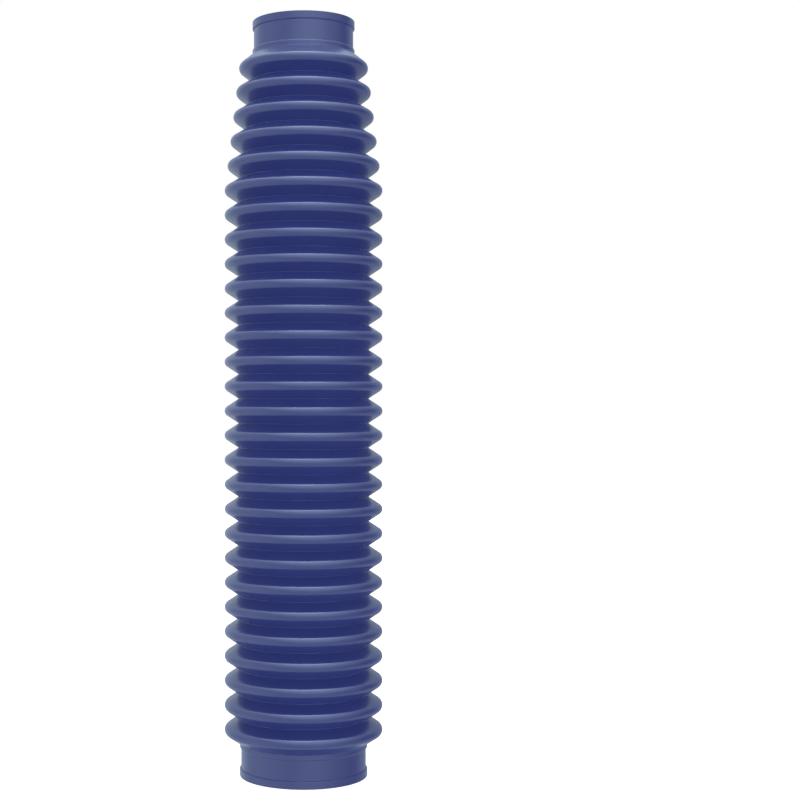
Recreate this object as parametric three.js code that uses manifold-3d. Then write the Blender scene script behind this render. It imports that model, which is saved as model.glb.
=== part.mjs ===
import * as THREE from 'three';
import { mergeVertices } from 'three/addons/utils/BufferGeometryUtils.js';
import Module from 'manifold-3d';

// A motorcycle fork gaiter: one tube of moulded rubber, pleated along its length so that it
// follows the fork, with a collar at each end that a band clamp closes on the fork leg.
// It stands on its lower rim. Z is its axis, Z = 0 is that rim, and +Y is its rear.
// Lengths are in millimetres and angles in degrees.

// Pleats, measured on the outside of the wall
const pleatCount = 28;
const pleatPitch = 12.2;
const pleatDepth = 6.85;
const crestRadius = 39.4;
const topCrestRadius = 32.2;
const taperedPleats = 5;
const crestRounding = 2.8;
const rootRounding = 0.35;
const pleatWall = 1.5;

// Collars: a bead at the rim, a flat seat for the clamp, and a shoulder beside the pleats
const lowerBoreRadius = 29;
const upperBoreRadius = 22.7;
const collarWall = 2.1;
const ridgeHeight = 0.7;
const beadWidth = 3.8;
const seatWidth = 10.1;
const shoulderWidth = 2.2;
const rimChamfer = 0.3;
const neckRounding = 1;
const neckToCrest = 7;

// Breather holes, through the lowest flank at the rear
const ventCount = 2;
const ventRadius = 1.5;
const ventSpacing = 45;
const ventAzimuth = 90;

// Facets: how many go round the axis, and how many corners stand for each rounding of the wall
const facetsRound = 24;
const outerCorners = { crest: 3, root: 1 };
const innerCorners = { crest: 2, root: 2 };
const ventFacets = 12;

const collarLength = beadWidth + seatWidth + shoulderWidth;
const lowestCrest = collarLength + neckToCrest;
const gaiterHeight = 2 * lowestCrest + (pleatCount - 1) * pleatPitch;

// Radius of the line through the crests. Pleats count from 0 at the lower end, and a half
// number is the place between two pleats.
function crestLine(pleat) {
  const pleatsBelowTop = pleatCount - 1 - pleat;
  const widening = Math.min(pleatsBelowTop / taperedPleats, 1);
  return THREE.MathUtils.lerp(topCrestRadius, crestRadius, widening);
}

// A turn is one rounding of the wall. A crest's arc has its centre inside the rubber's curve
// (side 1), and a root's arc has it outside (side -1).
function crestTurn(radius, height) {
  const centre = new THREE.Vector2(radius - crestRounding, height);
  return { kind: 'crest', side: 1, centre, rounding: crestRounding };
}

function rootTurn(radius, height, rounding) {
  const centre = new THREE.Vector2(radius + rounding, height);
  return { kind: 'root', side: -1, centre, rounding };
}

function wallTurns() {
  const shoulder = collarWall + ridgeHeight;
  const turns = [rootTurn(lowerBoreRadius + shoulder, collarLength, neckRounding)];
  for (let pleat = 0; pleat < pleatCount; pleat += 1) {
    const height = lowestCrest + pleat * pleatPitch;
    turns.push(crestTurn(crestLine(pleat), height));
    if (pleat < pleatCount - 1) {
      const rootRadius = crestLine(pleat + 0.5) - pleatDepth;
      turns.push(rootTurn(rootRadius, height + pleatPitch / 2, rootRounding));
    }
  }
  turns.push(rootTurn(upperBoreRadius + shoulder, gaiterHeight - collarLength, neckRounding));
  return turns;
}

// The angle at which the straight flank that touches two neighbouring turns faces outwards
function flankFacing(lower, upper) {
  const span = upper.centre.clone().sub(lower.centre);
  const offset = lower.side * lower.rounding - upper.side * upper.rounding;
  return span.angle() - Math.acos(offset / span.length());
}

function facingVector(angle) {
  return new THREE.Vector2(Math.cos(angle), Math.sin(angle));
}

// A point on a turn's arc, or at a distance from it, measured inwards through the wall
function pointOnTurn(turn, angle, inset, stretch = 1) {
  const reach = (turn.side * turn.rounding - inset) * stretch;
  return turn.centre.clone().addScaledVector(facingVector(angle), reach);
}

// Corners of a turn whose flats touch the true arc, so that the wall between two such faces
// keeps its thickness
function turnCorners(turn, startAngle, endAngle, inset, cornerCount) {
  const step = (endAngle - startAngle) / cornerCount;
  const stretch = 1 / Math.cos(step / 2);
  return Array.from({ length: cornerCount }, (_, corner) =>
    pointOnTurn(turn, startAngle + (corner + 0.5) * step, inset, stretch));
}

// One face of the pleated wall, from the lower neck to the upper one
function wallFace(turns, inset, corners) {
  const flanks = turns.slice(1).map((turn, index) => flankFacing(turns[index], turn));
  const facings = [0, ...flanks, 0];
  return turns.flatMap((turn, index) => {
    const isNeck = index === 0 || index === turns.length - 1;
    const cornerCount = isNeck ? 1 : corners[turn.kind];
    return turnCorners(turn, facings[index], facings[index + 1], inset, cornerCount);
  });
}

// A collar's outside, from the inner edge of its rim to the shoulder, at heights from the rim
function collarOutline(boreRadius) {
  const seatRadius = boreRadius + collarWall;
  const ridgeRadius = seatRadius + ridgeHeight;
  return [
    new THREE.Vector2(boreRadius, 0),
    new THREE.Vector2(ridgeRadius - rimChamfer, 0),
    new THREE.Vector2(ridgeRadius, rimChamfer),
    new THREE.Vector2(ridgeRadius, beadWidth),
    new THREE.Vector2(seatRadius, beadWidth),
    new THREE.Vector2(seatRadius, beadWidth + seatWidth),
    new THREE.Vector2(ridgeRadius, beadWidth + seatWidth),
  ];
}

function fromTop(point) {
  return new THREE.Vector2(point.x, gaiterHeight - point.y);
}

// The closed section of the whole moulding: up the outside and down the inside
function gaiterSection(turns) {
  const boreEnd = beadWidth + seatWidth;
  const section = [
    ...collarOutline(lowerBoreRadius),
    ...wallFace(turns, 0, outerCorners),
    ...collarOutline(upperBoreRadius).map(fromTop).reverse(),
    new THREE.Vector2(upperBoreRadius, gaiterHeight - boreEnd),
    ...wallFace(turns, pleatWall, innerCorners).reverse(),
    new THREE.Vector2(lowerBoreRadius, boreEnd),
  ];
  section.push(section[0].clone());
  return section;
}

// A cylinder square to the lowest flank, through the middle of its wall
function ventCutter(turns, azimuth) {
  const [neck, crest] = turns;
  const facing = flankFacing(neck, crest);
  const middle = pointOnTurn(neck, facing, pleatWall / 2)
    .lerp(pointOnTurn(crest, facing, pleatWall / 2), 0.5);
  const direction = new THREE.Vector3(Math.cos(facing), 0, Math.sin(facing));
  const upright = new THREE.Vector3(0, 1, 0);
  const geometry = new THREE.CylinderGeometry(ventRadius, ventRadius, 3 * pleatWall, ventFacets);
  geometry.applyQuaternion(new THREE.Quaternion().setFromUnitVectors(upright, direction));
  geometry.translate(middle.x, 0, middle.y);
  geometry.rotateZ(THREE.MathUtils.degToRad(azimuth));
  return geometry;
}

const wasm = await Module();
wasm.setup();

function solidFromGeometry(geometry) {
  geometry.deleteAttribute('normal');
  geometry.deleteAttribute('uv');
  const merged = mergeVertices(geometry);
  const vertProperties = new Float32Array(merged.attributes.position.array);
  const triVerts = new Uint32Array(merged.index.array);
  return new wasm.Manifold(new wasm.Mesh({ numProp: 3, vertProperties, triVerts }));
}

function geometryFromSolid(solid) {
  const mesh = solid.getMesh();
  const geometry = new THREE.BufferGeometry();
  geometry.setAttribute('position', new THREE.BufferAttribute(mesh.vertProperties, 3));
  geometry.setIndex(new THREE.BufferAttribute(mesh.triVerts, 1));
  return geometry;
}

function gaiterGeometry() {
  const turns = wallTurns();
  const moulding = new THREE.LatheGeometry(gaiterSection(turns), facetsRound);
  moulding.rotateX(Math.PI / 2);
  let solid = solidFromGeometry(moulding);
  for (let vent = 0; vent < ventCount; vent += 1) {
    const azimuth = ventAzimuth + (vent - (ventCount - 1) / 2) * ventSpacing;
    solid = solid.subtract(solidFromGeometry(ventCutter(turns, azimuth)));
  }
  const geometry = geometryFromSolid(solid);
  geometry.computeVertexNormals();
  return geometry;
}

const blueRubber = new THREE.MeshStandardMaterial({
  color: 0x35427f,
  roughness: 0.45,
  metalness: 0,
});

const gaiter = new THREE.Mesh(gaiterGeometry(), blueRubber);
gaiter.name = 'gaiter';

const forkGaiter = new THREE.Group();
forkGaiter.add(gaiter);

export default forkGaiter;
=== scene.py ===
import math
from collections import namedtuple

import bmesh
import bpy
import numpy as np
from mathutils import Matrix, Vector


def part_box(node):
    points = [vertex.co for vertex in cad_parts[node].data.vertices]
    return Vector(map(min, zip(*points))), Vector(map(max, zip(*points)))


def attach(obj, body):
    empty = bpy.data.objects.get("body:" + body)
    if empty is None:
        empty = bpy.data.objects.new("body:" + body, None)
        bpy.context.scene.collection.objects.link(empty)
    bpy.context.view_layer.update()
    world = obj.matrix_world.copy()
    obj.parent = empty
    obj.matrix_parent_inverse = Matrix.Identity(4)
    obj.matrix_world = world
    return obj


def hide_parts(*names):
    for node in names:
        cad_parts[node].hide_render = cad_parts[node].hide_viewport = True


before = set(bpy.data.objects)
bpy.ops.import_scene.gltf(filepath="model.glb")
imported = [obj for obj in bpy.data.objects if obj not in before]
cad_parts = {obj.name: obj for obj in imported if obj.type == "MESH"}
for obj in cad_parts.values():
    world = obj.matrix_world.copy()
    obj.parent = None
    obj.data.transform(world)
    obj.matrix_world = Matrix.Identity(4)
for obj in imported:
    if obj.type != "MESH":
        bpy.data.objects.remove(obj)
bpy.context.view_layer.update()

# A motorcycle fork gaiter of blue rubber, standing on its lower rim. Lengths are in metres,
# angles in degrees. The wall keeps the form of the CAD node. Its turns are truly round, and a few
# of its lengths are fitted to the photograph.
LOW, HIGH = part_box("gaiter")
HEIGHT = HIGH.z - LOW.z

# Pleats, measured on the outside of the wall
PLEATS = 28
CREST_RADIUS = 0.0394
TOP_CREST_RADIUS = 0.0322
TAPERED_PLEATS = 5
PLEAT_DEPTH = 0.00685
CREST_ROUNDING = 0.0028
ROOT_ROUNDING = 0.00015
PLEAT_WALL = 0.0015

# Collars
LOWER_BORE = 0.029
UPPER_BORE = 0.0227
COLLAR_WALL = 0.0021
RIDGE = 0.0007
BEAD_WIDTH = 0.0038
SEAT_WIDTH = 0.0099
SHOULDER_WIDTH = 0.0026
SHOULDER_ROUNDING = 0.0008
NECK_ROUNDING = 0.0003
LOWER_NECK_TO_CREST = 0.0066
UPPER_NECK_TO_CREST = 0.00685
EDGE_ROUNDING = 0.00025
BEAD_ROUNDING = 0.0004
CORNER_ROUNDING = 0.00008
BORE_END_ROUNDING = 0.001

# Breather holes, at angles from +X. The rear is at 90.
VENT_AZIMUTHS = (67.5, 112.5)
VENT_RADIUS = 0.0015
VENT_CUT_DEPTH = 3 * PLEAT_WALL

# The rubber. Soft clouds vary its colour and gloss a little, and a fine grain gives it relief.
RUBBER_IOR = 1.5
RUBBER_DIFFUSE_ROUGHNESS = 0.8
RUBBER_DARK = (0.0357, 0.0505, 0.2271, 1)
RUBBER_LIGHT = (0.0384, 0.0541, 0.2412, 1)
RUBBER_ROUGHNESS = (0.23, 0.28)
CLOUD_SCALE = 55
CLOUD_DETAIL = 3
CLOUD_RANGE = (0.1, 0.9)
GRAIN_SCALE = 3200
GRAIN_DETAIL = 2
GRAIN_STRENGTH = 0.08
GRAIN_DEPTH = 0.00005

# Fineness and shading of the turned mesh
SEGMENTS = 128
CREST_STEPS = 8
ROOT_STEPS = 3
INNER_STEPS = {"crest": 3, "root": 5, "neck": 3}
EDGE_STEPS = 4
VENT_SEGMENTS = 32
SHARP_ANGLE = 40
LARGE_FACE_WEIGHT = 100

# The photograph's camera. Its PHOTO values are in pixels and its sensor's width in millimetres.
PHOTO_SIZE = 800
PHOTO_AXIS_X = 303.55
PHOTO_HORIZON_Y = 400.45
PHOTO_DISTANCE = 1545
METRES_PER_PIXEL = 0.0005
SENSOR_WIDTH = 36
CAMERA_HEIGHT = 0.1868
CAMERA_NEAREST = 0.01
LEVEL_LOOK = 90

# Directions in the studio, each an azimuth and an elevation. Azimuth 0 is the camera's side and
# 90 the right.
FRONT = (0, 0)
RIGHT = (90, 0)
UP = (0, 90)

# The studio. The floor glows, so that it looks as white as the background.
WHITE = (1, 1, 1)
FLOOR_REACH = 3
FLOOR_COLOR = (0.9, 0.9, 0.9, 1)
FLOOR_GLOW = 0.9

# Light for the rubber's own colour: a ring round the horizon and a dome overhead
RING_FULL_TO = 28
RING_GONE_AT = 42
RING_ALL_ROUND = 1.09
RING_FRONT = 0.12
RING_RIGHT = 0.05
DOME_FROM = 52
DOME_LIGHT = 1

# Light for its gloss. A light fades out at its reach, and a strength below 0 is a dark screen.
WALL_LIGHT = 0.78
GLOSS_COLOR = (0.841, 1, 1.06)
SoftLight = namedtuple("SoftLight", "azimuth elevation reach strength")
SOFT_LIGHTS = (
    SoftLight(-50, 89, 56, 2.08),
    SoftLight(14, 52, 60, 1.97),
    SoftLight(15, 80, 26, 2.6),
    SoftLight(180, 68, 45, 0.8),
    SoftLight(-79, 13, 78, 0.85),
    SoftLight(19, 15, 59, 0.81),
    SoftLight(81, 29, 30, 0.51),
    SoftLight(1, -65, 73, 0.68),
    SoftLight(104, 3, 32, -0.57),
    SoftLight(156, -4, 46, -0.3),
    SoftLight(-112, 1, 31, -0.45),
)

COLLAR_LENGTH = BEAD_WIDTH + SEAT_WIDTH + SHOULDER_WIDTH
LOWEST_CREST = COLLAR_LENGTH + LOWER_NECK_TO_CREST
HIGHEST_CREST = HEIGHT - COLLAR_LENGTH - UPPER_NECK_TO_CREST
PLEAT_PITCH = (HIGHEST_CREST - LOWEST_CREST) / (PLEATS - 1)

# A turn is one rounding of the section. Its side is 1 where the rubber bulges and -1 where it
# is hollowed, seen along a loop that keeps the rubber on its left.
Turn = namedtuple("Turn", "kind radius height side rounding steps")


def crest_line(pleat):
    """The radius that the crests reach at a pleat counted from the bottom, or between two."""
    widening = min((PLEATS - 1 - pleat) / TAPERED_PLEATS, 1)
    return TOP_CREST_RADIUS + (CREST_RADIUS - TOP_CREST_RADIUS) * widening


def neck_turn(bore, height):
    """The hollow corner between a collar's shoulder and the pleated wall."""
    radius = bore + COLLAR_WALL + RIDGE + NECK_ROUNDING
    return Turn("neck", radius, height, -1, NECK_ROUNDING, EDGE_STEPS)


def wall_turns():
    """The outside of the pleated wall, from the lower neck to the upper one."""
    turns = [neck_turn(LOWER_BORE, COLLAR_LENGTH)]
    for pleat in range(PLEATS):
        height = LOWEST_CREST + pleat * PLEAT_PITCH
        crest = crest_line(pleat) - CREST_ROUNDING
        turns.append(Turn("crest", crest, height, 1, CREST_ROUNDING, CREST_STEPS))
        if pleat < PLEATS - 1:
            root = crest_line(pleat + 0.5) - PLEAT_DEPTH + ROOT_ROUNDING
            middle = height + PLEAT_PITCH / 2
            turns.append(Turn("root", root, middle, -1, ROOT_ROUNDING, ROOT_STEPS))
    turns.append(neck_turn(UPPER_BORE, HEIGHT - COLLAR_LENGTH))
    return turns


def inner_turn(turn):
    """The same turn on the inside, the wall's thickness away."""
    rounding = turn.rounding - turn.side * PLEAT_WALL
    steps = INNER_STEPS[turn.kind]
    return Turn(turn.kind, turn.radius, turn.height, -turn.side, rounding, steps)


def collar_turns(bore):
    """A collar's outside, at heights from its rim, from the rim's inner edge to the shoulder.

    Each corner has its radius and height, the two ways to its arc's centre, its side and its
    rounding.
    """
    seat = bore + COLLAR_WALL
    ridge = seat + RIDGE
    seat_end = BEAD_WIDTH + SEAT_WIDTH
    corners = (
        (bore, 0, 1, 1, 1, EDGE_ROUNDING),
        (ridge, 0, -1, 1, 1, EDGE_ROUNDING),
        (ridge, BEAD_WIDTH, -1, -1, 1, BEAD_ROUNDING),
        (seat, BEAD_WIDTH, 1, 1, -1, CORNER_ROUNDING),
        (seat, seat_end, 1, -1, -1, CORNER_ROUNDING),
        (ridge, seat_end, -1, 1, 1, SHOULDER_ROUNDING),
    )
    return [
        Turn("edge", radius + across * rounding, height + up * rounding, side, rounding, EDGE_STEPS)
        for radius, height, across, up, side, rounding in corners
    ]


def bore_end_turn(bore):
    """The rounded edge where a collar's bore widens into the pleats."""
    height = BEAD_WIDTH + SEAT_WIDTH
    return Turn("edge", bore + BORE_END_ROUNDING, height, 1, BORE_END_ROUNDING, EDGE_STEPS)


def upside_down(turns):
    return [turn._replace(height=HEIGHT - turn.height) for turn in reversed(turns)]


def section_turns():
    """The whole section as a loop, up the outside and down the inside."""
    wall = wall_turns()
    return [
        *collar_turns(LOWER_BORE),
        *wall,
        *upside_down(collar_turns(UPPER_BORE)),
        *upside_down([bore_end_turn(UPPER_BORE)]),
        *[inner_turn(turn) for turn in reversed(wall)],
        bore_end_turn(LOWER_BORE),
    ]


def flank_facing(first, second):
    """The outward angle of the straight flank between two turns, in radians."""
    across = second.radius - first.radius
    up = second.height - first.height
    offset = first.side * first.rounding - second.side * second.rounding
    return math.atan2(up, across) - math.acos(offset / math.hypot(across, up))


def section_points(turns):
    """The closed section as an array of (radius, height)."""
    points = []
    for index, turn in enumerate(turns):
        start = flank_facing(turns[index - 1], turn)
        end = flank_facing(turn, turns[(index + 1) % len(turns)])
        sweep = (end - start + math.pi) % math.tau - math.pi
        for step in range(turn.steps + 1):
            angle = start + sweep * step / turn.steps
            reach = turn.side * turn.rounding
            points.append((turn.radius + reach * math.cos(angle),
                           turn.height + reach * math.sin(angle)))
    return np.array(points)


def turned_mesh(name, section):
    """The section turned round Z, closed on itself."""
    angles = np.arange(SEGMENTS) * math.tau / SEGMENTS
    radius = section[:, 0, None]
    places = np.stack([
        radius * np.cos(angles),
        radius * np.sin(angles),
        np.broadcast_to(section[:, 1, None], (len(section), SEGMENTS)),
    ], axis=-1).reshape(-1, 3)
    ring = np.arange(len(section))[:, None] * SEGMENTS
    next_ring = np.roll(ring, -1, axis=0)
    spot = np.arange(SEGMENTS)[None]
    next_spot = np.roll(spot, -1)
    faces = np.stack([ring + spot, ring + next_spot, next_ring + next_spot, next_ring + spot],
                     axis=-1).reshape(-1, 4)
    mesh = bpy.data.meshes.new(name)
    mesh.from_pydata(places.tolist(), [], faces.tolist())
    return mesh


def new_object(name, data):
    made = bpy.data.objects.new(name, data)
    bpy.context.scene.collection.objects.link(made)
    return made


def vent_cutter(azimuth):
    """A cylinder square to the lowest flank, through the middle of its wall."""
    neck, crest = wall_turns()[:2]
    facing = flank_facing(neck, crest)
    outward = Vector((math.cos(facing), 0, math.sin(facing)))
    inset = PLEAT_WALL / 2
    ends = [
        Vector((turn.radius, 0, turn.height)) + outward * (turn.side * turn.rounding - inset)
        for turn in (neck, crest)
    ]
    middle = (ends[0] + ends[1]) / 2
    place = (
        Matrix.Rotation(math.radians(azimuth), 4, "Z")
        @ Matrix.Translation(middle)
        @ outward.to_track_quat("Z", "Y").to_matrix().to_4x4()
    )
    shape = bmesh.new()
    bmesh.ops.create_cone(shape, cap_ends=True, segments=VENT_SEGMENTS, radius1=VENT_RADIUS,
                          radius2=VENT_RADIUS, depth=VENT_CUT_DEPTH, matrix=place)
    mesh = bpy.data.meshes.new("vent")
    shape.to_mesh(mesh)
    shape.free()
    return new_object("vent", mesh)


def cut_vents(piece):
    for azimuth in VENT_AZIMUTHS:
        cutter = vent_cutter(azimuth)
        cut = piece.modifiers.new("vent", "BOOLEAN")
        cut.operation = "DIFFERENCE"
        cut.solver = "EXACT"
        cut.object = cutter
        bpy.context.view_layer.update()
        evaluated = piece.evaluated_get(bpy.context.evaluated_depsgraph_get())
        mesh = bpy.data.meshes.new_from_object(evaluated)
        piece.modifiers.remove(cut)
        old = piece.data
        piece.data = mesh
        bpy.data.meshes.remove(old)
        bpy.data.objects.remove(cutter)


def rubber_material():
    material = bpy.data.materials.new("blue_rubber")
    material.use_nodes = True
    nodes = material.node_tree.nodes
    links = material.node_tree.links
    shader = nodes["Principled BSDF"]
    shader.inputs["IOR"].default_value = RUBBER_IOR
    shader.inputs["Diffuse Roughness"].default_value = RUBBER_DIFFUSE_ROUGHNESS
    place = nodes.new("ShaderNodeTexCoord").outputs["Object"]

    cloud = nodes.new("ShaderNodeTexNoise")
    cloud.inputs["Scale"].default_value = CLOUD_SCALE
    cloud.inputs["Detail"].default_value = CLOUD_DETAIL
    links.new(place, cloud.inputs["Vector"])

    tint = nodes.new("ShaderNodeValToRGB")
    tint.color_ramp.interpolation = "EASE"
    tint.color_ramp.elements[0].position = CLOUD_RANGE[0]
    tint.color_ramp.elements[0].color = RUBBER_DARK
    tint.color_ramp.elements[1].position = CLOUD_RANGE[1]
    tint.color_ramp.elements[1].color = RUBBER_LIGHT
    links.new(cloud.outputs["Fac"], tint.inputs["Fac"])
    links.new(tint.outputs["Color"], shader.inputs["Base Color"])

    gloss = nodes.new("ShaderNodeMapRange")
    gloss.inputs["From Min"].default_value = CLOUD_RANGE[0]
    gloss.inputs["From Max"].default_value = CLOUD_RANGE[1]
    gloss.inputs["To Min"].default_value = RUBBER_ROUGHNESS[0]
    gloss.inputs["To Max"].default_value = RUBBER_ROUGHNESS[1]
    links.new(cloud.outputs["Fac"], gloss.inputs["Value"])
    links.new(gloss.outputs["Result"], shader.inputs["Roughness"])

    grain = nodes.new("ShaderNodeTexNoise")
    grain.inputs["Scale"].default_value = GRAIN_SCALE
    grain.inputs["Detail"].default_value = GRAIN_DETAIL
    links.new(place, grain.inputs["Vector"])
    relief = nodes.new("ShaderNodeBump")
    relief.inputs["Strength"].default_value = GRAIN_STRENGTH
    relief.inputs["Distance"].default_value = GRAIN_DEPTH
    links.new(grain.outputs["Fac"], relief.inputs["Height"])
    links.new(relief.outputs["Normal"], shader.inputs["Normal"])
    return material


def make_gaiter():
    section = section_points(section_turns())
    piece = new_object("rubber_gaiter", turned_mesh("rubber_gaiter", section))
    cut_vents(piece)
    piece.data.shade_smooth()
    piece.data.set_sharp_from_angle(angle=math.radians(SHARP_ANGLE))
    normals = piece.modifiers.new("flat_flanks", "WEIGHTED_NORMAL")
    normals.keep_sharp = True
    normals.weight = LARGE_FACE_WEIGHT
    piece.data.materials.clear()
    piece.data.materials.append(rubber_material())
    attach(piece, "root")
    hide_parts("gaiter")


def make_floor():
    mesh = bpy.data.meshes.new("floor")
    reach = FLOOR_REACH
    corners = [(-reach, -reach, 0), (reach, -reach, 0), (reach, reach, 0), (-reach, reach, 0)]
    mesh.from_pydata(corners, [], [(0, 1, 2, 3)])
    floor = new_object("floor", mesh)
    floor.location.z = LOW.z
    floor.visible_diffuse = False
    floor.visible_glossy = False
    material = bpy.data.materials.new("pale_floor")
    material.use_nodes = True
    shader = material.node_tree.nodes["Principled BSDF"]
    shader.inputs["Base Color"].default_value = FLOOR_COLOR
    shader.inputs["Roughness"].default_value = 1
    shader.inputs["Specular IOR Level"].default_value = 0
    shader.inputs["Emission Color"].default_value = (*WHITE, 1)
    shader.inputs["Emission Strength"].default_value = FLOOR_GLOW
    mesh.materials.append(material)


class Sky:
    """Works out the studio's brightness from the direction that light comes from."""

    def __init__(self, tree):
        self.nodes = tree.nodes
        self.links = tree.links
        self.direction = self.nodes.new("ShaderNodeTexCoord").outputs["Generated"]

    def along(self, azimuth, elevation):
        """The cosine of the angle between where the light comes from and a direction."""
        azimuth = math.radians(azimuth)
        elevation = math.radians(elevation)
        node = self.nodes.new("ShaderNodeVectorMath")
        node.operation = "DOT_PRODUCT"
        node.inputs[1].default_value = (
            math.sin(azimuth) * math.cos(elevation),
            -math.cos(azimuth) * math.cos(elevation),
            math.sin(elevation),
        )
        self.links.new(self.direction, node.inputs[0])
        return node.outputs["Value"]

    def ramp(self, value, start, end, first, last):
        """A smooth change from the first value at the start to the last one at the end."""
        node = self.nodes.new("ShaderNodeMapRange")
        node.interpolation_type = "SMOOTHSTEP"
        node.inputs["From Min"].default_value = start
        node.inputs["From Max"].default_value = end
        node.inputs["To Min"].default_value = first
        node.inputs["To Max"].default_value = last
        self.links.new(value, node.inputs["Value"])
        return node.outputs["Result"]

    def calculate(self, operation, *values):
        """One operation on numbers or on the outputs of other nodes."""
        node = self.nodes.new("ShaderNodeMath")
        node.operation = operation
        for socket, value in zip(node.inputs, values):
            if isinstance(value, (int, float)):
                socket.default_value = value
            else:
                self.links.new(value, socket)
        return node.outputs["Value"]

    def shade(self, color, strength):
        node = self.nodes.new("ShaderNodeBackground")
        node.inputs["Color"].default_value = (*color, 1)
        if isinstance(strength, (int, float)):
            node.inputs["Strength"].default_value = strength
        else:
            self.links.new(strength, node.inputs["Strength"])
        return node.outputs["Background"]

    def choose(self, switch, off, on):
        node = self.nodes.new("ShaderNodeMixShader")
        self.links.new(switch, node.inputs["Fac"])
        self.links.new(off, node.inputs[1])
        self.links.new(on, node.inputs[2])
        return node.outputs["Shader"]


def gloss_light(sky):
    """What the rubber's gloss shows: pale walls, soft lights and dark screens."""
    total = WALL_LIGHT
    for light in SOFT_LIGHTS:
        edge = math.cos(math.radians(light.reach))
        near = sky.ramp(sky.along(light.azimuth, light.elevation), edge, 1, 0, 1)
        total = sky.calculate("MULTIPLY_ADD", near, light.strength, total)
    return sky.shade(GLOSS_COLOR, sky.calculate("MAXIMUM", total, 0))


def matt_light(sky):
    """What lights the rubber's own colour: a ring of light round it and a dome overhead."""
    height = sky.calculate("ABSOLUTE", sky.along(*UP))
    full = math.sin(math.radians(RING_FULL_TO))
    gone = math.sin(math.radians(RING_GONE_AT))
    ring = sky.ramp(height, full, gone, 1, 0)
    share = sky.calculate("MULTIPLY_ADD", sky.along(*FRONT), RING_FRONT, RING_ALL_ROUND)
    share = sky.calculate("MULTIPLY_ADD", sky.along(*RIGHT), RING_RIGHT, share)
    edge = math.sin(math.radians(DOME_FROM))
    dome = sky.ramp(sky.along(*UP), edge, 1, 0, DOME_LIGHT)
    return sky.shade(WHITE, sky.calculate("MULTIPLY_ADD", ring, share, dome))


def make_studio():
    """A white background for the camera, and a light each for the rubber's colour and gloss."""
    world = bpy.data.worlds.new("studio")
    bpy.context.scene.world = world
    world.use_nodes = True
    world.cycles.sampling_method = "NONE"
    tree = world.node_tree
    tree.nodes.remove(tree.nodes["Background"])
    sky = Sky(tree)
    seen = tree.nodes.new("ShaderNodeLightPath")
    light = sky.choose(seen.outputs["Is Diffuse Ray"], gloss_light(sky), matt_light(sky))
    light = sky.choose(seen.outputs["Is Camera Ray"], light, sky.shade(WHITE, 1))
    tree.links.new(light, tree.nodes["World Output"].inputs["Surface"])


def make_camera():
    data = bpy.data.cameras.new("camera")
    data.sensor_width = SENSOR_WIDTH
    data.lens = SENSOR_WIDTH * PHOTO_DISTANCE / PHOTO_SIZE
    data.shift_x = (PHOTO_SIZE / 2 - PHOTO_AXIS_X) / PHOTO_SIZE
    data.shift_y = (PHOTO_HORIZON_Y - PHOTO_SIZE / 2) / PHOTO_SIZE
    data.clip_start = CAMERA_NEAREST
    camera = new_object("camera", data)
    camera.location = (0, -PHOTO_DISTANCE * METRES_PER_PIXEL, CAMERA_HEIGHT)
    camera.rotation_euler = (math.radians(LEVEL_LOOK), 0, 0)
    bpy.context.scene.camera = camera


make_camera()
make_gaiter()
make_floor()
make_studio()
bpy.context.scene.view_settings.view_transform = "Standard"
bpy.context.scene.cycles.use_denoising = True
